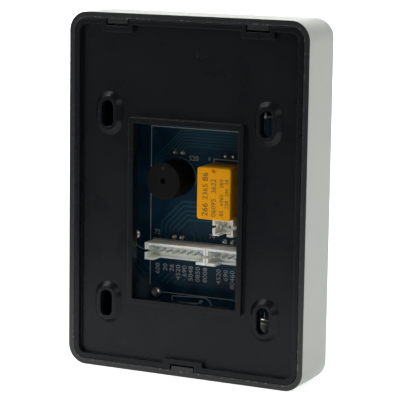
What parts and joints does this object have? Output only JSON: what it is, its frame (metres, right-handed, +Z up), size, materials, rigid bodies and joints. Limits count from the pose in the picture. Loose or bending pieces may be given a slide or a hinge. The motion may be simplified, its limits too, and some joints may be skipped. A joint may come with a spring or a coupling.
{
  "type": "door access keypad",
  "caption": "Wall-mounted door access keypad: silver housing with press keys over a circuit board, hooked onto a black wall plate with slots and a cable window.",
  "frame": {"origin": "middle of the rear face, on the wall plane", "axes": "+Z up; +Y into the wall, so the keys face -Y; +X to the right as a user facing the keys sees it"},
  "size_m": [0.0854, 0.023, 0.118],
  "materials": {
    "back_plate": "gloss black ABS",
    "front_housing": "silver paint on black ABS",
    "fascia_panel": "piano black",
    "led_lens": "smoked acrylic",
    "status_leds": "clear epoxy",
    "keypad_mat": "translucent silicone",
    "key_cap": "satin",
    "main_board": "blue solder mask",
    "contact_pads": "gold plated",
    "backlight_leds": "clear epoxy",
    "solder_joints": "bright solder",
    "board_screws": "nickel plated",
    "buzzer": "matte black",
    "relay": "orange yellow",
    "header_housing": "off-white nylon",
    "tinned_pin": "tinned",
    "filter_capacitor": "grey sleeve",
    "upright_capacitors": "printed sleeve",
    "mcu_chip": "moulded epoxy",
    "memory_chip": "moulded epoxy",
    "crystal": "tinned can",
    "voltage_regulator": "moulded epoxy",
    "diodes": "black epoxy",
    "transistors": "moulded epoxy",
    "chip_resistors": "glazed",
    "chip_capacitors": "ceramic"
  },
  "bodies": {
    "wall_plate": {"back_plate": "back_plate"},
    "housing": {"front_housing": "front_housing", "fascia_panel": "fascia_panel", "led_lens": "led_lens", "status_leds": "status_leds", "keypad_mat": "keypad_mat", "main_board": "main_board", "contact_pads": "contact_pads", "backlight_leds": "backlight_leds", "solder_joints": "solder_joints", "board_screws": "board_screws", "buzzer": "buzzer", "relay": "relay", "header_8way": "header_housing", "header_8way_pins": "tinned_pin", "header_5way": "header_housing", "header_5way_pins": "tinned_pin", "header_2way": "header_housing", "header_2way_pins": "tinned_pin", "filter_capacitor": "filter_capacitor", "upright_capacitors": "upright_capacitors", "mcu_chip": "mcu_chip", "memory_chip": "memory_chip", "crystal": "crystal", "voltage_regulator": "voltage_regulator", "diodes": "diodes", "transistors": "transistors", "chip_resistors": "chip_resistors", "chip_capacitors": "chip_capacitors"},
    "key_1": {"key_1": "key_cap"},
    "key_2": {"key_2": "key_cap"},
    "key_3": {"key_3": "key_cap"},
    "key_4": {"key_4": "key_cap"},
    "key_5": {"key_5": "key_cap"},
    "key_6": {"key_6": "key_cap"},
    "key_7": {"key_7": "key_cap"},
    "key_8": {"key_8": "key_cap"},
    "key_9": {"key_9": "key_cap"},
    "key_star": {"key_star": "key_cap"},
    "key_0": {"key_0": "key_cap"},
    "key_hash": {"key_hash": "key_cap"},
    "key_bell": {"key_bell": "key_cap"}
  },
  "joints": [
    {"name": "housing_swing", "type": "hinge", "parent": "wall_plate", "child": "housing", "pos_m": [0, 0, 0.059], "axis": [-1, 0, 0], "range_deg": [0, 15]},
    {"name": "key_1_press", "type": "slide", "parent": "housing", "child": "key_1", "axis": [0, 1, 0], "range_m": [0, 0.001], "stiffness_N_per_m": 800, "deforming": ["keypad_mat"]},
    {"name": "key_2_press", "type": "slide", "parent": "housing", "child": "key_2", "axis": [0, 1, 0], "range_m": [0, 0.001], "stiffness_N_per_m": 800, "deforming": ["keypad_mat"]},
    {"name": "key_3_press", "type": "slide", "parent": "housing", "child": "key_3", "axis": [0, 1, 0], "range_m": [0, 0.001], "stiffness_N_per_m": 800, "deforming": ["keypad_mat"]},
    {"name": "key_4_press", "type": "slide", "parent": "housing", "child": "key_4", "axis": [0, 1, 0], "range_m": [0, 0.001], "stiffness_N_per_m": 800, "deforming": ["keypad_mat"]},
    {"name": "key_5_press", "type": "slide", "parent": "housing", "child": "key_5", "axis": [0, 1, 0], "range_m": [0, 0.001], "stiffness_N_per_m": 800, "deforming": ["keypad_mat"]},
    {"name": "key_6_press", "type": "slide", "parent": "housing", "child": "key_6", "axis": [0, 1, 0], "range_m": [0, 0.001], "stiffness_N_per_m": 800, "deforming": ["keypad_mat"]},
    {"name": "key_7_press", "type": "slide", "parent": "housing", "child": "key_7", "axis": [0, 1, 0], "range_m": [0, 0.001], "stiffness_N_per_m": 800, "deforming": ["keypad_mat"]},
    {"name": "key_8_press", "type": "slide", "parent": "housing", "child": "key_8", "axis": [0, 1, 0], "range_m": [0, 0.001], "stiffness_N_per_m": 800, "deforming": ["keypad_mat"]},
    {"name": "key_9_press", "type": "slide", "parent": "housing", "child": "key_9", "axis": [0, 1, 0], "range_m": [0, 0.001], "stiffness_N_per_m": 800, "deforming": ["keypad_mat"]},
    {"name": "key_star_press", "type": "slide", "parent": "housing", "child": "key_star", "axis": [0, 1, 0], "range_m": [0, 0.001], "stiffness_N_per_m": 800, "deforming": ["keypad_mat"]},
    {"name": "key_0_press", "type": "slide", "parent": "housing", "child": "key_0", "axis": [0, 1, 0], "range_m": [0, 0.001], "stiffness_N_per_m": 800, "deforming": ["keypad_mat"]},
    {"name": "key_hash_press", "type": "slide", "parent": "housing", "child": "key_hash", "axis": [0, 1, 0], "range_m": [0, 0.001], "stiffness_N_per_m": 800, "deforming": ["keypad_mat"]},
    {"name": "key_bell_press", "type": "slide", "parent": "housing", "child": "key_bell", "axis": [0, 1, 0], "range_m": [0, 0.001], "stiffness_N_per_m": 800, "deforming": ["keypad_mat"]}
  ]
}
